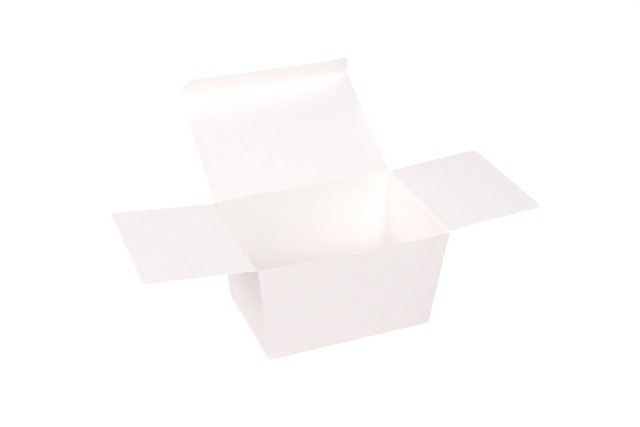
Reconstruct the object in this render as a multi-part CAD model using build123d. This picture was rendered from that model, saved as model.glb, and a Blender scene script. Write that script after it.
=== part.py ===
from build123d import *
import math
import os

# Praline box, a ballotin folded and glued from one sheet of carton board, shown open.
# The origin is the centre of the base underside, +Z is up and the front wall faces -Y.

# Driving sizes in millimetres
rim_width = 116.0
rim_depth = 83.0
box_height = 66.0
wall_taper = 6.6
board = 0.45
fold_radius = 0.15
tuck_length = 18.0
tuck_end_taper = 2.0
tuck_corner_radius = 5.0
side_flap_length = 62.9
side_flap_corner_radius = 5.0
side_flap_back_inset = 0.8
side_flap_front_inset = 2.4
side_flap_shoulder = 4.0
side_flap_step = 2.0
bottom_side_flap_length = 30.0
bottom_back_flap_length = 38.0
bottom_flap_taper = 2.5
bottom_flap_corner_radius = 4.0
glue_flap_width = 12.0
glue_flap_end_taper = 3.0

# Clearances in millimetres
crease_clearance = 0.10
flap_under_lid_clearance = 0.20
tuck_clearance = 0.25
tuck_side_clearance = 0.30
lid_side_inset = 0.25
flap_edge_clearance = 0.20
bottom_edge_clearance = 0.5
seam_clearance = 0.25

# Open positions in degrees
lid_lean = 61.5
tuck_fold = 97.0
left_flap_rise = 5.0
right_flap_rise = 3.4

# Walls lean in towards the base
wall_lean = math.degrees(math.atan2(wall_taper, box_height))
wall_across = board / math.cos(math.radians(wall_lean))
fold_outer = fold_radius + board

# Crease axes run along the middle of the board
crease_gap = board / 2 + crease_clearance
lid_axis_z = box_height - board / 2
side_axis_z = lid_axis_z - board - flap_under_lid_clearance
body_top_z = lid_axis_z - crease_gap
side_top_z = side_axis_z - crease_gap


def lean_in(z):
    return wall_taper * (1 - z / box_height)


lid_axis_y = rim_depth / 2 - lean_in(lid_axis_z) - wall_across / 2
side_axis_x = rim_width / 2 - lean_in(side_axis_z) - wall_across / 2
front_inner_y = rim_depth / 2 - lean_in(body_top_z) - wall_across
tuck_axis_y = front_inner_y - tuck_clearance - board / 2
lid_length = lid_axis_y + tuck_axis_y

# Bottom flaps are layered: the front one outermost, the side ones inside
front_layer_z = 0.0
back_layer_z = front_layer_z + board
side_layer_z = back_layer_z + board
floor_z = side_layer_z + board
base_half_width = rim_width / 2 - wall_taper
base_half_depth = rim_depth / 2 - wall_taper


def tapered_block(low, high, inset, radius):
    shrink = 2 * (lean_in(low) + inset)
    foot = Plane.XY.offset(low) * Rectangle(rim_width - shrink, rim_depth - shrink)
    block = extrude(foot, high - low, taper=-wall_lean)
    return fillet(block.edges().filter_by(Plane.XY, reverse=True), radius)


def corner_box(x_range, y_range, z_range):
    size = [high - low for low, high in (x_range, y_range, z_range)]
    middle = [(low + high) / 2 for low, high in (x_range, y_range, z_range)]
    return Pos(*middle) * Box(*size)


def panel(points, corner_radius=0):
    face = make_face(Polyline(*points, close=True))
    if corner_radius:
        face = fillet(face.vertices().sort_by(Axis.Y)[-2:], corner_radius)
    return extrude(face, board / 2, both=True)


def crease_bead(start, end):
    return Pos((start + end) / 2, 0, 0) * Rot(0, 90, 0) * Cylinder(board / 2, end - start)


def bottom_flap(root_half, length, layer_z, wall_reach, turn):
    # Local Y runs inwards from the outer foot of the wall that carries the flap
    end_half = root_half - bottom_flap_taper
    points = [(-root_half, 0), (root_half, 0), (root_half, wall_across + board), (end_half, length)]
    points += [(-end_half, length), (-root_half, wall_across + board)]
    plate = panel(points, bottom_flap_corner_radius)
    return Rot(0, 0, turn) * Pos(0, -wall_reach, layer_z + board / 2) * plate


def foot_relief(layer_z, wall_reach, half_run, turn):
    # Rounds the fold at the foot of a wall, and clears the layers below it. Local X runs outwards
    foot = wall_reach - lean_in(layer_z)
    slope = math.radians(wall_lean)
    centre_x = foot + fold_outer * (math.tan(slope) - 1 / math.cos(slope))
    fold = CenterArc((centre_x, layer_z + fold_outer), fold_outer, -90, 90 - wall_lean)
    inner_x = foot - 2 * wall_across
    below = Polyline(fold @ 1, (wall_reach, (fold @ 1).Y), (wall_reach, -board), (inner_x, -board),
                     (inner_x, layer_z), fold @ 0)
    cutter = extrude(Plane.XZ * make_face([fold, below]), half_run, both=True)
    return Rot(0, 0, turn) * cutter


# Box body: four walls with rounded upright folds
body = tapered_block(front_layer_z, body_top_z, 0, fold_outer)
body -= tapered_block(front_layer_z - board, body_top_z + board, wall_across, fold_radius)

# Glued bottom: side flaps inside, then the back flap, then the front flap outermost
side_root = base_half_depth - fold_outer - bottom_edge_clearance
wide_root = base_half_width - fold_outer - bottom_edge_clearance
front_flap_length = 2 * base_half_depth - wall_across - bottom_edge_clearance
for turn in (90, -90):
    body += bottom_flap(side_root, bottom_side_flap_length, side_layer_z, base_half_width, turn)
body += bottom_flap(wide_root, bottom_back_flap_length, back_layer_z, base_half_depth, 180)
body += bottom_flap(wide_root, front_flap_length, front_layer_z, base_half_depth, 0)

# The glue flap turns in from the back wall and is bonded inside the left wall
glue_band = tapered_block(side_layer_z, body_top_z, wall_across, fold_radius)
glue_band -= Pos(wall_across, 0, 0) * tapered_block(front_layer_z, box_height, wall_across, fold_radius)
glue_low = (base_half_depth - glue_flap_width, floor_z + glue_flap_end_taper)
glue_high = (rim_depth / 2 - glue_flap_width, side_top_z - glue_flap_end_taper)
glue_fold = [(base_half_depth, front_layer_z), (rim_depth / 2, box_height)]
glue_outline = Polyline(*glue_fold, glue_high, glue_low, close=True)
body += glue_band & extrude(Plane.YZ * make_face(glue_outline), -rim_width)

# Each wall turns under at its own layer
for turn in (0, 180):
    body -= foot_relief(side_layer_z, rim_width / 2, rim_depth / 2, turn)
body -= foot_relief(back_layer_z, rim_depth / 2, rim_width / 2, 90)
body -= foot_relief(front_layer_z, rim_depth / 2, rim_width / 2, -90)

# The side walls stop below the creases of their flaps, and the glue flap with them
rim_run = rim_depth / 2 - fold_outer - flap_edge_clearance
for side in (-1, 1):
    rim_x = sorted((side * (side_axis_x - 2 * wall_across), side * rim_width / 2))
    body -= corner_box(rim_x, (-rim_run, rim_run), (side_top_z, box_height))

# The left wall's free edge stops just short of that corner and shows the cut board
seam_x = (-rim_width / 2, 2 * fold_outer - base_half_width)
seam_corner = corner_box(seam_x, (0, rim_depth / 2), (floor_z, box_height))
full_block = tapered_block(front_layer_z, box_height, 0, fold_outer)
seam_corner -= Pos(wall_across, 0, 0) * full_block
seam_corner -= Pos(0, -fold_outer - seam_clearance, 0) * full_block
body -= seam_corner
body.label = "box_body"

# Lid: a flat panel on a crease bead along the back wall
lid_place = Pos(0, lid_axis_y, lid_axis_z) * Rot(90 - lid_lean, 0, 0)
lid_half = rim_width / 2 - lid_side_inset
lid_end = lid_length - crease_gap
lid_panel = panel([(-lid_half, 0), (lid_half, 0), (lid_half, lid_end), (-lid_half, lid_end)])
lid = lid_place * (lid_panel + crease_bead(-lid_half, lid_half))
lid.label = "lid"

# Tuck flap: hinged at the lid's free edge, it goes in between the tapering side walls
tuck_place = lid_place * Pos(0, lid_length, 0) * Rot(tuck_fold, 0, 0)
tuck_root = rim_width / 2 - lean_in(body_top_z) - wall_across - tuck_side_clearance
tuck_end = tuck_root - tuck_end_taper
tuck_outline = [(-tuck_root, 0), (tuck_root, 0), (tuck_end, tuck_length), (-tuck_end, tuck_length)]
tuck_flap = tuck_place * (panel(tuck_outline, tuck_corner_radius) + crease_bead(-tuck_root, tuck_root))
tuck_flap.label = "tuck_flap"


def side_flap(front):
    # Local Y runs outwards from the crease. The front edge has a shoulder, then steps in for the tuck
    run = rim_depth / 2 - lean_in(side_axis_z)
    back = -front * (run - side_flap_back_inset)
    shoulder = front * (run - wall_across - tuck_clearance - board - 2 * flap_edge_clearance)
    edge = front * (run - side_flap_front_inset)
    points = [(back, 0), (shoulder, 0), (shoulder, side_flap_shoulder)]
    points += [(edge, side_flap_shoulder + side_flap_step)]
    points += [(edge, side_flap_length), (back, side_flap_length)]
    bead_ends = sorted((back, front * (run - fold_outer - 2 * flap_edge_clearance)))
    return panel(points, side_flap_corner_radius) + crease_bead(*bead_ends)


# Side flaps spread out to left and right
left_flap = Pos(-side_axis_x, 0, side_axis_z) * Rot(0, 0, 90) * Rot(left_flap_rise, 0, 0) * side_flap(-1)
left_flap.label = "left_flap"
right_flap = Pos(side_axis_x, 0, side_axis_z) * Rot(0, 0, -90) * Rot(right_flap_rise, 0, 0) * side_flap(1)
right_flap.label = "right_flap"

os.makedirs("parts", exist_ok=True)
for node in (body, lid, tuck_flap, left_flap, right_flap):
    export_step(node, f"parts/{node.label}.step")

print("crease axes:")
print("lid", (0, round(lid_axis_y, 4), round(lid_axis_z, 4)))
tuck_axis = tuck_place.position
print("tuck_flap", (0, round(tuck_axis.Y, 4), round(tuck_axis.Z, 4)))
print("side flaps", (round(side_axis_x, 4), 0, round(side_axis_z, 4)))
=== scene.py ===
import math
import bmesh
import bpy
from mathutils import Matrix, Vector


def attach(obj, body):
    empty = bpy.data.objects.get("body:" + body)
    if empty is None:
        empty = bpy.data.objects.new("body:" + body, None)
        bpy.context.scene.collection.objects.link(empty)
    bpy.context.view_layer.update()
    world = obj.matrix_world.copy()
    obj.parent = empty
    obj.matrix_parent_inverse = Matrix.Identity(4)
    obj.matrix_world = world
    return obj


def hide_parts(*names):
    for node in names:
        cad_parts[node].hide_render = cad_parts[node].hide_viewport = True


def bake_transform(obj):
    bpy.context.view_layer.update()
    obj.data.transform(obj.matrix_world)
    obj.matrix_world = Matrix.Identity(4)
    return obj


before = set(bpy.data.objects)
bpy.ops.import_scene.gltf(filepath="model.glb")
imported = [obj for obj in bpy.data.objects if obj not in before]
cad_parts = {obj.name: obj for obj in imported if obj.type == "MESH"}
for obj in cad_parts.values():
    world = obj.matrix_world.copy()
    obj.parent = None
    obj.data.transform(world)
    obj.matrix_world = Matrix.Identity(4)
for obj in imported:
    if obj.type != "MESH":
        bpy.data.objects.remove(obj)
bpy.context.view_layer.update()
print("praline box: frame loaded")

mm = 0.001


def toLinear(hexColour):
    channels = [int(hexColour[i:i + 2], 16) / 255 for i in (1, 3, 5)]
    return [c / 12.92 if c <= 0.04045 else ((c + 0.055) / 1.055) ** 2.4 for c in channels] + [1]


def addNode(tree, kind, settings=None, links=None):
    node = tree.nodes.new(kind)
    for name, value in (settings or {}).items():
        if isinstance(name, int) or name in node.inputs:
            node.inputs[name].default_value = value
        else:
            setattr(node, name, value)
    for name, source in (links or {}).items():
        tree.links.new(source, node.inputs[name])
    return node


def emptyMaterial(name):
    material = bpy.data.materials.new(name)
    material.use_nodes = True
    material.node_tree.nodes.clear()
    return material, material.node_tree


# Carton board: folding boxboard, clay coated and left unprinted on the outside, lightly coated
# inside, then die cut and creased. It looks matt and smooth, with a slow cloudy mottle from the
# pulp and a soft sheen
# The two faces differ partly by their coatings and partly by painted light: the inside colour is lifted
# almost to pure white to brighten the inside of the box, the lid and the flaps, and the outside colour is
# toned down as painted shade on the walls
boardLook = {
    # partly painted shade: the outer side is toned down so that the walls come out darker
    "outside": "#EFE9E9",
    "outsideCloud": "#EEE8E7",
    # partly painted light: the inner side is lifted almost to white so that the box's inside, lid and
    # flaps come out brighter
    "inside": "#FEFCFB",
    "insideCloud": "#FEFBFA",
    "fleck": "#DDD0C8",
    "cloudMm": 14.0,              # formation clouds in the pulp are 5 to 15 mm across
    "cloudSpan": (0.35, 0.65),    # of the noise, from the board's own tone to the cloud's
    "fleckMm": 3.2,               # one faint speck in about every 10 square millimetres
    "fleckSpan": (0.028, 0.05),   # radius at which a speck starts to fade and is gone, in fleckMm
    "fleckStrength": 0.35,
    "fibreMm": 1.4,               # real fibres are 0.02 mm thick, drawn coarser so that they show
    "fibreSpan": (0.3, 0.7),
    "reliefStrength": 0.6,
    "outsideReliefMm": 0.012,
    "insideReliefMm": 0.02,
    "ior": 1.5,
    "roughness": 0.52,
    "insideRougher": 0.1,         # the light coat of the inner side is less smooth
    "sheenBelow": 0.05,           # the fibres move the roughness this much down and up
    "sheenAbove": 0.06,
}


def boardFace(name, base, cloud, roughness, reliefMm):
    look = boardLook
    material, tree = emptyMaterial(name)
    blank = addNode(tree, "ShaderNodeUVMap", {"uv_map": "blank"})
    clouds = addNode(tree, "ShaderNodeTexNoise", {"noise_dimensions": "2D", "Scale": 1 / look["cloudMm"],
                     "Detail": 3, "Roughness": 0.6}, {"Vector": blank.outputs["UV"]})
    cloudy = addNode(tree, "ShaderNodeMapRange", {"From Min": look["cloudSpan"][0],
                     "From Max": look["cloudSpan"][1]}, {"Value": clouds.outputs["Fac"]})
    tone = addNode(tree, "ShaderNodeMix", {"data_type": "RGBA", 6: toLinear(base), 7: toLinear(cloud)},
                   {"Factor": cloudy.outputs["Result"]})
    specks = addNode(tree, "ShaderNodeTexVoronoi", {"voronoi_dimensions": "2D",
                     "Scale": 1 / look["fleckMm"]}, {"Vector": blank.outputs["UV"]})
    speckEdge = addNode(tree, "ShaderNodeMapRange", {"From Min": look["fleckSpan"][0],
                        "From Max": look["fleckSpan"][1], "To Min": look["fleckStrength"],
                        "To Max": 0.0}, {"Value": specks.outputs["Distance"]})
    spotted = addNode(tree, "ShaderNodeMix", {"data_type": "RGBA", 7: toLinear(look["fleck"])},
                      {"Factor": speckEdge.outputs["Result"], 6: tone.outputs[2]})
    fibres = addNode(tree, "ShaderNodeTexNoise", {"noise_dimensions": "2D", "Scale": 1 / look["fibreMm"],
                     "Detail": 5, "Roughness": 0.65, "Distortion": 0.6}, {"Vector": blank.outputs["UV"]})
    relief = addNode(tree, "ShaderNodeBump", {"Strength": look["reliefStrength"],
                     "Distance": reliefMm * mm}, {"Height": fibres.outputs["Fac"]})
    sheen = addNode(tree, "ShaderNodeMapRange", {"From Min": look["fibreSpan"][0],
                    "From Max": look["fibreSpan"][1], "To Min": roughness - look["sheenBelow"],
                    "To Max": roughness + look["sheenAbove"]}, {"Value": fibres.outputs["Fac"]})
    shader = addNode(tree, "ShaderNodeBsdfPrincipled", {"IOR": look["ior"]},
                     {"Base Color": spotted.outputs[2], "Roughness": sheen.outputs["Result"],
                      "Normal": relief.outputs["Normal"]})
    addNode(tree, "ShaderNodeOutputMaterial", {}, {"Surface": shader.outputs["BSDF"]})
    return material


# Cut edge: the die leaves the pulp open, so it is matt and a little warmer, with a fuzz of cut fibres
cutLook = {
    # partly painted highlight: the pulp is kept near white so that the rims show as a bright line; white
    # is also the cut board's own colour
    "pulp": "#FEFAF7",
    "fibre": "#F6EFEA",
    "fuzzMm": 0.5,                # the fibres are finer, drawn coarser so that they show
    "fuzzSpan": (0.3, 0.75),
    "reliefMm": 0.03,
    "reliefStrength": 0.8,
    "ior": 1.45,
    "roughness": 0.85,
}


def cutBoardEdge(name):
    look = cutLook
    material, tree = emptyMaterial(name)
    blank = addNode(tree, "ShaderNodeUVMap", {"uv_map": "blank"})
    fuzz = addNode(tree, "ShaderNodeTexNoise", {"noise_dimensions": "2D", "Scale": 1 / look["fuzzMm"],
                   "Detail": 4}, {"Vector": blank.outputs["UV"]})
    spread = addNode(tree, "ShaderNodeMapRange", {"From Min": look["fuzzSpan"][0],
                     "From Max": look["fuzzSpan"][1]}, {"Value": fuzz.outputs["Fac"]})
    tone = addNode(tree, "ShaderNodeMix", {"data_type": "RGBA", 6: toLinear(look["pulp"]),
                   7: toLinear(look["fibre"])}, {"Factor": spread.outputs["Result"]})
    relief = addNode(tree, "ShaderNodeBump", {"Strength": look["reliefStrength"],
                     "Distance": look["reliefMm"] * mm}, {"Height": fuzz.outputs["Fac"]})
    shader = addNode(tree, "ShaderNodeBsdfPrincipled", {"IOR": look["ior"],
                     "Roughness": look["roughness"]}, {"Base Color": tone.outputs[2],
                     "Normal": relief.outputs["Normal"]})
    addNode(tree, "ShaderNodeOutputMaterial", {}, {"Surface": shader.outputs["BSDF"]})
    return material


# the outer and inner faces carry the painted shade and the painted light set in boardLook
coatedOutside = boardFace("clay coated board, calendered, toned down by painted shade", boardLook["outside"], boardLook["outsideCloud"],
                          boardLook["roughness"], boardLook["outsideReliefMm"])
coatedInside = boardFace("lightly coated board, inner side, lifted by painted light", boardLook["inside"], boardLook["insideCloud"],
                         boardLook["roughness"] + boardLook["insideRougher"], boardLook["insideReliefMm"])
cutEdge = cutBoardEdge("die cut board edge")
print("praline box: board materials ready")

# Sizes of the creased blank, in millimetres, as the solids have them
blankSize = {
    "rimWidth": 116.0,
    "rimDepth": 83.0,
    "height": 66.0,
    "taper": 6.6,
    "board": 0.45,
    "lidAxis": (41.2514, 65.775),
    "tuckAxis": (113.1115, 104.7919),
    "sideAxis": (57.6864, 65.125),
    "creaseReach": 0.45,       # a crease bends over this much board on each side of its line
    "creaseBead": 0.02,        # the middle of a crease stands this much proud on its outer side
}
sheetFinish = {
    "joinMm": 0.002,           # patches of one sheet are joined where they are this near
    "arrisMm": 0.05,           # the cut edge is broken by this much
    "arrisAngle": 60,
    "sharpAngle": 40,          # degrees, shading is smooth below this
    "foldRows": 8,             # rows of faces over a crease
    "cornerRows": 8,           # rows of points round a corner
}


def leanIn(z):
    return blankSize["taper"] * (1 - z / blankSize["height"])


def halfWidth(z):
    return blankSize["rimWidth"] / 2 - leanIn(z) - blankSize["board"] / 2


def halfDepth(z):
    return blankSize["rimDepth"] / 2 - leanIn(z) - blankSize["board"] / 2


def unit(angle):
    return Vector((math.cos(math.radians(angle)), math.sin(math.radians(angle))))


def creased(distance, below, along, reach, bead):
    # where the board runs in a section across a crease: down one panel, round, out along the other
    if distance <= -reach:
        return below * -distance
    if distance >= reach:
        return along * distance
    onward = -below
    across = (along - onward * along.dot(onward)).normalized()
    turn = math.acos(max(-1.0, min(1.0, onward.dot(along))))
    radius = reach / math.tan(turn / 2)
    angle = turn * (distance + reach) / (2 * reach)
    point = below * reach + onward * radius * math.sin(angle) + across * radius * (1 - math.cos(angle))
    ridge = math.cos(math.pi * distance / (2 * reach)) ** 2
    return point - (across * math.cos(angle) - onward * math.sin(angle)) * bead * ridge


def cornerInset(distance, length, radius):
    # how far a rounded outer corner pulls the edge in at this distance from the crease
    into = distance - (length - radius)
    if into <= 0:
        return 0.0
    return radius - math.sqrt(max(0.0, radius * radius - into * into))


def rowDistances(reach, length, radius, steps, extra=()):
    foldRows, cornerRows = sheetFinish["foldRows"], sheetFinish["cornerRows"]
    fold = [reach * (2 * k / foldRows - 1) for k in range(foldRows + 1)]
    flat = [reach + (length - radius - reach) * k / steps for k in range(1, steps + 1)]
    turns = [math.pi * k / (2 * cornerRows) for k in range(1, cornerRows + 1)]
    rounded = [length - radius * (1 - math.sin(turn)) for turn in turns]
    return sorted(set(round(d, 5) for d in fold + flat + rounded + list(extra)))


def sheetOfBoard(name, patches, body):
    # patches are grids of points with their places on the flat blank, joined where they meet
    work = bmesh.new()
    places = work.loops.layers.uv.new("blank")
    for points, blank, keeps in patches:
        grid = [[work.verts.new(p * mm) for p in row] for row in points]
        for i in range(len(grid) - 1):
            for j in range(len(grid[0]) - 1):
                if not keeps(i, j):
                    continue
                corners = [(i, j), (i, j + 1), (i + 1, j + 1), (i + 1, j)]
                face = work.faces.new([grid[a][b] for a, b in corners])
                face.smooth = True
                for loop, (a, b) in zip(face.loops, corners):
                    loop[places].uv = blank[a][b]
    loose = [v for v in work.verts if not v.link_faces]
    bmesh.ops.delete(work, geom=loose, context="VERTS")
    bmesh.ops.remove_doubles(work, verts=work.verts, dist=sheetFinish["joinMm"] * mm)
    mesh = bpy.data.meshes.new(name)
    work.to_mesh(mesh)
    work.free()
    for material in (coatedOutside, coatedInside, cutEdge):
        mesh.materials.append(material)
    piece = bpy.data.objects.new(name, mesh)
    bpy.context.scene.collection.objects.link(piece)
    thickness = piece.modifiers.new("board thickness", "SOLIDIFY")
    thickness.thickness = blankSize["board"] * mm
    thickness.offset = 0
    thickness.use_even_offset = True
    thickness.material_offset = 1
    thickness.material_offset_rim = 2
    arris = piece.modifiers.new("cut arris", "BEVEL")
    arris.width = sheetFinish["arrisMm"] * mm
    arris.segments = 1
    arris.limit_method = "ANGLE"
    arris.angle_limit = math.radians(sheetFinish["arrisAngle"])
    bpy.context.view_layer.update()
    shaped = piece.evaluated_get(bpy.context.evaluated_depsgraph_get())
    finished = bpy.data.meshes.new_from_object(shaped)
    piece.modifiers.clear()
    piece.data = finished
    finished.set_sharp_from_angle(angle=math.radians(sheetFinish["sharpAngle"]))
    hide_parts(body)
    print("praline box:", name, len(finished.polygons), "faces")
    return piece


def always(i, j):
    # every face of a patch is kept
    return True


lean = math.degrees(math.atan2(blankSize["taper"], blankSize["height"]))
wallAtCrease = blankSize["creaseReach"] * math.cos(math.radians(lean))
wallDown = unit(270 - lean)

# Body: one strip of board round four walls, from the left wall's free edge to the glue flap
bodyShape = {
    "rows": 20,
    "columns": 28,
    "cornerColumns": 6,              # for each upright fold
    "glueColumns": 8,
    "baseSkew": (0.20, -0.80),       # the whole base sits a little forward of the rim
    "frontLeftFoot": (-0.20, 0.0),
    "backLeftFoot": (-0.70, -0.50),
    "leftBow": 1.40,                 # the left wall is pushed out at the middle of its crease
    "frontBow": 1.3,
    "rightBow": 0.50,
    "bowInset": 0.4,                 # a bow has died out this far before the wall's end
    "sideBowFade": 1.3,              # powers by which the bows die out towards the foot
    "frontBowFade": 1.6,
    "freeEdge": 0.994,               # the left wall's free edge stops just short of the corner
    "glueWidth": 11.4,
    "glueFootRise": 3.4,             # the glue flap's ends slope in towards its free edge
    "glueTopDrop": 2.7,
    "glueTopGap": 0.05,
    "sideTop": blankSize["sideAxis"][1] - wallAtCrease,
    "backTop": blankSize["lidAxis"][1] - wallAtCrease,
    "frontTop": 65.45,               # heights of the middle of each bottom flap's board come next
    "layers": {"front": 0.225, "back": 0.675, "left": 1.125, "right": 1.125},
    "bottomLength": {"front": 68.62, "back": 37.77, "left": 29.77, "right": 29.77},
    "bottomRows": 8,
    "bottomTaper": 2.5,
    "bottomTaperStart": 1.0,         # from the fold under the wall
    "bottomCorner": 4.0,
    "edgeCut": 0.985,                # bottom flaps and side creases stop just short of the upright folds
    "footFold": 0.375,               # radius of the board's middle under each wall
    "uprightFolds": {                # radius of the board's middle at the foot, half way up, at the rim
        "frontLeft": (0.9, 1.3, 1.0),
        "frontRight": (0.6, 0.7, 0.6),
        "backRight": (1.6, 3.2, 0.7),
        "backLeft": (0.375, 0.375, 0.375),
    },
}
footReach = bodyShape["footFold"] * math.tan(math.radians(90 - lean) / 2)
walls = {                            # outward, onward round the box, and the folds at the two ends
    "left": (Vector((-1, 0)), Vector((0, -1)), "backLeft", "frontLeft"),
    "front": (Vector((0, -1)), Vector((1, 0)), "frontLeft", "frontRight"),
    "right": (Vector((1, 0)), Vector((0, 1)), "frontRight", "backRight"),
    "back": (Vector((0, 1)), Vector((-1, 0)), "backRight", "backLeft"),
}


def wallReach(wall, z):
    return halfWidth(z) if wall in ("left", "right") else halfDepth(z)


def foldRadius(corner, z):
    foot, middle, rim = bodyShape["uprightFolds"][corner]
    share = max(0.0, min(1.0, z / bodyShape["sideTop"]))
    return foot + (rim - foot) * share + (middle - (foot + rim) / 2) * 4 * share * (1 - share)


def wallSpan(wall, z):
    # where the flat of a wall starts and ends, from its own middle
    run = halfDepth(z) if wall in ("left", "right") else halfWidth(z)
    first, last = walls[wall][2:]
    return foldRadius(first, z) - run, run - foldRadius(last, z)


def alongWall(wall, fraction, z):
    low, high = wallSpan(wall, z)
    return low + (high - low) * (fraction + 1) / 2


def footHeight(wall):
    return bodyShape["layers"][wall] + footReach * math.cos(math.radians(lean))


def bulge(along, half):
    # how far out a bow is at this place along its wall: most in the middle, none at the folds
    share = along / (half - bodyShape["bowInset"])
    return max(0.0, 1 - share * share)


def settled(x, y, z, *near):
    # the skew of the base, and the bows of the walls, as the standing box has them
    shape = bodyShape
    down = max(0.0, 1 - z / shape["sideTop"])
    rise = 1 - down
    left = (1 - x / halfWidth(z)) / 2
    front = (1 - y / halfDepth(z)) / 2
    dx, dy = shape["baseSkew"]
    for corner, share in (("frontLeftFoot", left * front), ("backLeftFoot", left * (1 - front))):
        dx += shape[corner][0] * share
        dy += shape[corner][1] * share
    dx, dy = dx * down, dy * down
    if "left" in near:
        dx -= shape["leftBow"] * bulge(y, halfDepth(z)) * rise ** shape["sideBowFade"]
    if "right" in near:
        dx += shape["rightBow"] * bulge(y, halfDepth(z)) * rise ** shape["sideBowFade"]
    if "front" in near:
        dy -= shape["frontBow"] * bulge(x, halfWidth(z)) * rise ** shape["frontBowFade"]
    return Vector((x + dx, y + dy, z))


def buildBody():
    shape = bodyShape
    cut = shape["edgeCut"]
    across = blankSize["board"] / math.cos(math.radians(lean))
    steps = [cut * (2 * k / shape["columns"] - 1) for k in range(shape["columns"] + 1)]
    # a column is its wall, its place along it and, in a fold, the wall that follows
    columns = []
    order = list(walls)
    inFold, inGlue = shape["cornerColumns"], shape["glueColumns"]
    for wall, following in zip(order, order[1:] + ["glue"]):
        first = -shape["freeEdge"] if wall == "left" else -1
        columns += [(wall, f, None) for f in [first] + steps + [1.0]]
        columns += [(wall, k / inFold, following) for k in range(1, inFold)]
    columns += [("glue", shape["glueWidth"] * k / inGlue, None) for k in range(inGlue + 1)]
    fractions = [k / shape["rows"] for k in range(shape["rows"] + 1)]
    heights = {"left": shape["sideTop"], "right": shape["sideTop"], "front": shape["frontTop"],
               "back": shape["backTop"]}

    def place(column, fraction, height=None):
        wall, along, following = column
        if wall == "glue":
            share = along / shape["glueWidth"]
            low = footHeight("back") + share * shape["glueFootRise"]
            high = shape["sideTop"] - shape["glueTopGap"] - share * shape["glueTopDrop"]
            z = low + (high - low) * fraction
            y = halfDepth(z) - foldRadius("backLeft", z) - along
            return settled(-halfWidth(z) + across, y, z, "left")
        foot = footHeight(wall)
        if following and following != "glue":
            foot += (footHeight(following) - foot) * along
        z = height or foot + (shape["sideTop"] - foot) * fraction
        out, onward = walls[wall][:2]
        if not following:
            flat = out * wallReach(wall, z) + onward * alongWall(wall, along, z)
            if wall == "back" and along > cut:
                flat.x += across * (along - cut) / (1 - cut)
            return settled(flat.x, flat.y, z, wall)
        fold = foldRadius(walls[wall][3], z)
        centre = out * (wallReach(wall, z) - fold) + onward * wallSpan(wall, z)[1]
        angle = math.radians(90 * along)
        flat = centre + out * fold * math.cos(angle) + onward * fold * math.sin(angle)
        if following == "glue":
            flat.x += across
        return settled(flat.x, flat.y, z, wall, following)

    rows = [[place(c, f) for c in columns] for f in fractions]
    rows += [[place(c, 1, shape[top]) for c in columns] for top in ("backTop", "frontTop")]
    travel = [0.0]
    middle = len(fractions) // 2
    for a, b in zip(rows[middle], rows[middle][1:]):
        travel.append(travel[-1] + (b - a).length)
    blank = [[(travel[j], p.z) for j, p in enumerate(row)] for row in rows]

    def topOf(column):
        wall, along, following = column
        if following == "glue":
            return heights["back"]
        if following:
            return shape["frontTop"] if "front" in (wall, following) else shape["backTop"]
        if wall in ("left", "right") and abs(along) >= cut:
            if wall == "left" and along < 0:
                return shape["sideTop"]
            return shape["frontTop"] if (along < 0) == (wall == "right") else shape["backTop"]
        return heights[wall]

    def keeps(i, j):
        # above the side walls' tops, only faces whose wall reaches that high
        slack = 1e-9
        if i < len(fractions) - 1:
            return True
        if "glue" in (columns[j][0], columns[j + 1][0]):
            return False
        level = [shape["backTop"], shape["frontTop"]][i - len(fractions) + 1]
        pair = columns[j:j + 2]
        inside = [c[0] in ("left", "right") and not c[2] and abs(c[1]) <= cut + slack for c in pair]
        if all(inside):
            return False
        return min(topOf(c) for c in pair) >= level - slack

    patches = [(rows, blank, keeps)]
    for wall in order:
        patches.append(bottomFlap(wall, steps))
    body = sheetOfBoard("bodyBoard", patches, "box_body")
    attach(body, "box_body")


def bottomFlap(wall, steps):
    # turns under at the foot of its wall and runs inwards at its own layer
    shape = bodyShape
    layer = shape["layers"][wall]
    length = shape["bottomLength"][wall]
    out, onward = walls[wall][:2]
    upWall = unit(90 - lean)
    inward = Vector((-1, 0))
    low, high = [alongWall(wall, end * shape["edgeCut"], footHeight(wall)) for end in (-1, 1)]
    distances = rowDistances(footReach, length, shape["bottomCorner"], shape["bottomRows"])
    start = shape["bottomTaperStart"]
    points, blank = [], []
    for distance in reversed(distances):
        section = creased(distance, upWall, inward, footReach, 0)
        x = wallReach(wall, layer) + section.x
        z = layer + section.y
        narrow = shape["bottomTaper"] * max(0.0, distance - start) / (length - start)
        narrow += cornerInset(distance, length, shape["bottomCorner"])
        row, places = [], []
        for step in steps:
            share = (step / shape["edgeCut"] + 1) / 2
            along = (low + narrow) * (1 - share) + (high - narrow) * share
            flat = out * x + onward * along
            row.append(settled(flat.x, flat.y, z))
            places.append((along, -distance))
        points.append(row)
        blank.append(places)
    return points, blank, always


buildBody()

# Lid: hinged along the back wall, leaning back, with its free edge folded forward into the tuck flap
lidShape = {
    "rise": 28.5,            # degrees above level, going backwards
    "length": 81.764,
    "half": 57.75,
    "sag": 2.0,              # it bends back a little under its own weight, less along its side edges
    "edgeSag": 0.2,
    "crownPower": 0.7,       # how broad the sagging middle is
    "topLeftShift": 0.10,    # the free edge stands this much to the right at its two ends
    "topRightShift": 1.00,
    "blankPlace": (300, 65),  # where the panel lies on the sheet, for the pattern of its pulp
    "columns": 32,
    "rows": 22,
}
tuckShape = {
    "turn": 125.5,
    "length": 18.0,
    "half": 57.2,            # narrow enough to go in between the side walls
    "taperLeft": 1.9,
    "taperRight": 2.0,
    "cornerLeft": 4.5,
    "cornerRight": 5.0,
    "curl": -1.0,            # the right end has started to curl back
    "curlStart": 34.0,       # to the right of the middle
    "curlRun": 22.0,         # the curl is whole this much further out
    "curlPower": 1.5,
    "blankPlace": (300, 150),
    "columns": 32,
    "rows": 6,
}
lidUp = unit(lidShape["rise"])
lidOut = Vector((lidUp.y, -lidUp.x))


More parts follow.
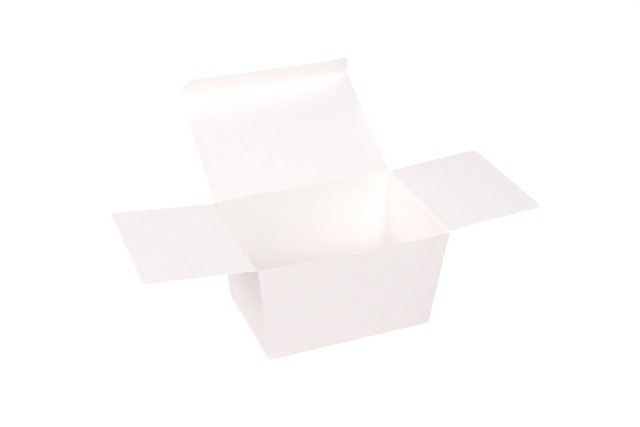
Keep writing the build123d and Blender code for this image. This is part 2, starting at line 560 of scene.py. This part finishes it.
def lidPoint(x, distance, section):
    # bows of the lid: sag along its length, and a slight flare towards its free edge
    shape = lidShape
    share = max(0.0, min(1.0, distance / shape["length"]))
    fade = 4 * share * (1 - share)
    crown = max(0.0, 1 - (x / shape["half"]) ** 2)
    sag = shape["edgeSag"] + (shape["sag"] - shape["edgeSag"]) * crown ** shape["crownPower"]
    y, z = section + lidOut * sag * fade
    side = (x / shape["half"] + 1) / 2
    x += share * (shape["topLeftShift"] * (1 - side) + shape["topRightShift"] * side)
    return Vector((x, y, z))


def buildLid():
    shape = lidShape
    reach = blankSize["creaseReach"]
    axis = Vector(blankSize["lidAxis"])
    blankX, blankY = shape["blankPlace"]
    distances = rowDistances(reach, shape["length"] - reach, 0, shape["rows"])
    xs = [shape["half"] * (1 - 2 * k / shape["columns"]) for k in range(shape["columns"] + 1)]
    points, blank = [], []
    for distance in distances:
        section = axis + creased(distance, wallDown, lidUp, reach, blankSize["creaseBead"])
        points.append([lidPoint(x, distance, section) for x in xs])
        blank.append([(blankX - x, blankY + distance) for x in xs])
    lid = sheetOfBoard("lidBoard", [(points, blank, always)], "lid")
    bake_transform(lid)


def buildTuck():
    shape = tuckShape
    reach = blankSize["creaseReach"]
    axis = Vector(blankSize["tuckAxis"])
    along = unit(shape["turn"])
    inner = Vector((-along.y, along.x))
    blankX, blankY = shape["blankPlace"]
    distances = rowDistances(reach, shape["length"], shape["cornerRight"], shape["rows"])
    points, blank = [], []
    for distance in distances:
        section = axis + creased(distance, -lidUp, along, reach, blankSize["creaseBead"])
        share = max(0.0, distance / shape["length"])
        right = shape["half"] - shape["taperRight"] * share
        right -= cornerInset(distance, shape["length"], shape["cornerRight"])
        left = shape["taperLeft"] * share - shape["half"]
        left += cornerInset(distance, shape["length"], shape["cornerLeft"])
        row = []
        for k in range(shape["columns"] + 1):
            x = right + (left - right) * k / shape["columns"]
            onset = max(0.0, (x - shape["curlStart"]) / shape["curlRun"]) ** 2
            curl = shape["curl"] * share ** shape["curlPower"] * onset
            y, z = section + inner * curl
            row.append(Vector((x, y, z)))
        points.append(row)
        blank.append([(blankX - p.x, blankY + distance) for p in row])
    tuck = sheetOfBoard("tuckBoard", [(points, blank, always)], "tuck_flap")
    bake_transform(tuck)


buildLid()
buildTuck()

# Side flaps: spread out from the tops of the side walls, with a small step where the tuck goes in
leftFlapShape = {
    "name": "leftFlapBoard",
    "body": "left_flap",
    "side": -1,
    "rise": 5.0,
    "length": 62.7,
    "backEdge": 39.8,
    "backFlare": 1.1,
    "frontEdge": 39.2,
    "frontFlare": 0.6,
    "backCorner": 3.5,
    "frontCorner": 2.6,
    "bow": 1.40,
    "blankPlace": (0, 65),
    "columns": 30,
    "rows": 20,
}
rightFlapShape = {
    "name": "rightFlapBoard",
    "body": "right_flap",
    "side": 1,
    "rise": 3.4,
    "length": 62.5,
    "backEdge": 41.3,
    "backFlare": 1.4,
    "frontEdge": 39.01,
    "frontFlare": 0.35,
    "backCorner": 5.0,
    "frontCorner": 5.0,
    "bow": 0.50,
    "blankPlace": (200, 65),
    "columns": 30,
    "rows": 20,
}
flapShared = {
    "shoulderReach": 39.82,          # half width at the front of the root, before the step for the tuck
    "shoulder": 4.0,                 # the step starts and ends this far from the crease
    "stepEnd": 6.0,
    "stepRows": (0.9, 1.3, 3.6, 4.0, 4.5, 5.0, 5.5, 6.0),
    "bowReach": 48.0,                # the bow of the crease has died out this far along the flap
    "bowPower": 1.5,
    "blendHeights": (-0.43, -0.19),  # from the crease's own height
}


def buildSideFlap(shape):
    side, length = shape["side"], shape["length"]
    shared = flapShared
    reach = blankSize["creaseReach"]
    axis = Vector(blankSize["sideAxis"])
    along = unit(shape["rise"])
    blankX, blankY = shape["blankPlace"]
    wall = "left" if side < 0 else "right"
    edge, rim = bodyShape["edgeCut"], bodyShape["sideTop"]
    strip = sorted(side * alongWall(wall, end * edge, rim) for end in (-1, 1))
    corner = max(shape["backCorner"], shape["frontCorner"])
    distances = rowDistances(reach, length, corner, shape["rows"], shared["stepRows"])
    points, blank = [], []
    for distance in distances:
        section = axis + creased(distance, wallDown, along, reach, blankSize["creaseBead"])
        share = max(0.0, distance / length)
        back = shape["backEdge"] + shape["backFlare"] * share
        back -= cornerInset(distance, length, shape["backCorner"])
        front = shape["frontEdge"] + shape["frontFlare"] * share
        if distance < shared["stepEnd"]:
            step = (shared["stepEnd"] - distance) / (shared["stepEnd"] - shared["shoulder"])
            front += (shared["shoulderReach"] - front) * min(1.0, step)
        front -= cornerInset(distance, length, shape["frontCorner"])
        if distance <= reach:
            front, back = -strip[0], strip[1]
        ys = [back - (back + front) * k / shape["columns"] for k in range(shape["columns"] + 1)]
        if side > 0:
            ys.reverse()
        fade = max(0.0, 1 - max(0.0, distance) / shared["bowReach"]) ** shared["bowPower"]
        row = []
        for y in ys:
            push = shape["bow"] * bulge(y, halfDepth(rim)) * fade
            row.append(Vector((side * (section.x + push), y, section.y)))
        points.append(row)
        blank.append([(side * y + blankX, blankY + distance) for y in ys])
    flap = sheetOfBoard(shape["name"], [(points, blank, always)], shape["body"])
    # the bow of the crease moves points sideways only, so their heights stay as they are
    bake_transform(flap)


for flapShape in (leftFlapShape, rightFlapShape):
    buildSideFlap(flapShape)

# Camera where the photograph was taken from, in millimetres and degrees
cameraPlace = {
    "azimuth": -21.93,
    "elevation": 29.59,
    "roll": 0.465,
    "focal": 1067.0,         # in pixels of the photograph's frame
    "frameWidth": 640,
    "sensorWidth": 36,
    "right": -4.95,
    "up": 58.96,
    "distance": 658.1,
    "clip": (0.01, 20),      # metres
}


def placeCamera():
    place = cameraPlace
    azimuth, elevation = math.radians(place["azimuth"]), math.radians(place["elevation"])
    back = Vector((math.sin(azimuth) * math.cos(elevation), -math.cos(azimuth) * math.cos(elevation),
                   math.sin(elevation)))
    level = Vector((0, 0, 1)).cross(back).normalized()
    upright = back.cross(level)
    roll = math.radians(place["roll"])
    right = level * math.cos(roll) + upright * math.sin(roll)
    up = upright * math.cos(roll) - level * math.sin(roll)
    data = bpy.data.cameras.new("camera")
    data.sensor_width = place["sensorWidth"]
    data.lens = place["focal"] * place["sensorWidth"] / place["frameWidth"]
    data.clip_start, data.clip_end = place["clip"]
    camera = bpy.data.objects.new("camera", data)
    spot = (right * place["right"] + up * place["up"] + back * place["distance"]) * mm
    camera.matrix_world = Matrix.Translation(spot) @ Matrix((right, up, back)).transposed().to_4x4()
    bpy.context.scene.collection.objects.link(camera)
    bpy.context.scene.camera = camera


placeCamera()

# Soft studio light: large lamps round a white sweep
plainWhite = (1, 1, 1, 1)
studio = {
    "skyLight": 0.155,
    "skyColour": "#FFF8FA",
    "lamps": {                       # spot and size in metres, watts, colour
        "frontHigh": ((0.0, -1.2, 1.1), 1.0, 13.3, "#FFFFFF"),
        "frontRight": ((0.8, -1.3, 0.4), 1.0, 2.6, "#FFFFFF"),
        "left": ((-1.5, 0.1, 0.8), 1.0, 8.4, "#FFFFFF"),
        "leftFront": ((-1.2, -0.8, 0.7), 1.0, 1.9, "#FFFFFF"),
        "leftHigh": ((-0.8, -0.2, 1.3), 1.0, 1.3, "#FFFAFB"),
        "backHigh": ((0.0, 1.1, 1.2), 1.0, 3.8, "#FFF8F9"),
        "backLeft": ((-0.9, 0.7, 1.0), 1.0, 2.8, "#FFF8F9"),
        "nearBack": ((-0.3, 0.3, 0.45), 0.3, 0.12, "#FFF8F9"),
    },
    "aim": (0, 0.03, 0.05),          # every lamp looks here
    "floorReach": 1.6,               # metres from the middle
    "floorDrop": 0.05,               # millimetres, so that the board doesn't lie in the floor's own plane
    "floorFade": (0.45, 1.0),        # metres from the middle, where the floor goes over into plain white
    "floorAlbedo": "#EEEEEE",        # the paper as it throws light back on the box
    "floorLift": 0.125,              # light that comes up through the sweep from a lamp below it
    "floorGlow": 0.88,               # the paper as it is seen: its own white, and what shadows it
    "floorAnswer": "#8C8C8C",
}


def seenRays(tree):
    # 1 where the background is looked at, straight or in a gloss, and 0 where it lights the box
    ray = addNode(tree, "ShaderNodeLightPath")
    glossy = addNode(tree, "ShaderNodeMath", {"operation": "MAXIMUM"}, {0: ray.outputs["Is Camera Ray"],
                     1: ray.outputs["Is Glossy Ray"]})
    clear = addNode(tree, "ShaderNodeMath", {"operation": "MAXIMUM"}, {0: glossy.outputs[0],
                    1: ray.outputs["Is Transmission Ray"]})
    return clear.outputs[0]


def lightStudio():
    world = bpy.data.worlds.new("white sweep")
    bpy.context.scene.world = world
    world.use_nodes = True
    tree = world.node_tree
    tree.nodes.clear()
    seen = seenRays(tree)
    sky = addNode(tree, "ShaderNodeBackground", {"Color": toLinear(studio["skyColour"]),
                  "Strength": studio["skyLight"]})
    white = addNode(tree, "ShaderNodeBackground", {"Color": plainWhite, "Strength": 1})
    either = addNode(tree, "ShaderNodeMixShader", {}, {0: seen, 1: sky.outputs[0], 2: white.outputs[0]})
    addNode(tree, "ShaderNodeOutputWorld", {}, {"Surface": either.outputs[0]})
    for name, (spot, size, watts, colour) in studio["lamps"].items():
        data = bpy.data.lights.new(name, "AREA")
        data.shape = "DISK"
        data.size = size
        data.energy = watts
        data.color = toLinear(colour)[:3]
        lamp = bpy.data.objects.new(name, data)
        lamp.location = spot
        aim = Vector(studio["aim"]) - Vector(spot)
        lamp.rotation_euler = aim.to_track_quat("-Z", "Y").to_euler()
        bpy.context.scene.collection.objects.link(lamp)


def layFloor():
    mesh = bpy.data.meshes.new("studioFloor")
    reach = studio["floorReach"]
    level = -studio["floorDrop"] * mm
    turns = ((-1, -1), (1, -1), (1, 1), (-1, 1))
    corners = [(x * reach, y * reach, level) for x, y in turns]
    mesh.from_pydata(corners, [], [(0, 1, 2, 3)])
    floor = bpy.data.objects.new("studioFloor", mesh)
    bpy.context.scene.collection.objects.link(floor)
    material, tree = emptyMaterial("white paper sweep")
    seen = seenRays(tree)
    paper = addNode(tree, "ShaderNodeBsdfDiffuse", {"Color": toLinear(studio["floorAlbedo"])})
    faint = addNode(tree, "ShaderNodeBsdfDiffuse", {"Color": toLinear(studio["floorAnswer"])})
    glow = addNode(tree, "ShaderNodeEmission", {"Color": plainWhite, "Strength": studio["floorGlow"]})
    near = addNode(tree, "ShaderNodeAddShader", {}, {0: faint.outputs[0], 1: glow.outputs[0]})
    white = addNode(tree, "ShaderNodeEmission", {"Color": plainWhite, "Strength": 1})
    place = addNode(tree, "ShaderNodeNewGeometry")
    away = addNode(tree, "ShaderNodeVectorMath", {"operation": "LENGTH"}, {0: place.outputs["Position"]})
    fade = addNode(tree, "ShaderNodeMapRange", {"From Min": studio["floorFade"][0],
                   "From Max": studio["floorFade"][1]}, {"Value": away.outputs["Value"]})
    shown = addNode(tree, "ShaderNodeMixShader", {}, {0: fade.outputs["Result"], 1: near.outputs[0],
                    2: white.outputs[0]})
    below = addNode(tree, "ShaderNodeEmission", {"Color": plainWhite, "Strength": studio["floorLift"]})
    lifted = addNode(tree, "ShaderNodeAddShader", {}, {0: paper.outputs[0], 1: below.outputs[0]})
    either = addNode(tree, "ShaderNodeMixShader", {}, {0: seen, 1: lifted.outputs[0], 2: shown.outputs[0]})
    addNode(tree, "ShaderNodeOutputMaterial", {}, {"Surface": either.outputs[0]})
    mesh.materials.append(material)


lightStudio()
layFloor()
bpy.context.scene.view_settings.view_transform = "Standard"
print("praline box: camera and light ready")
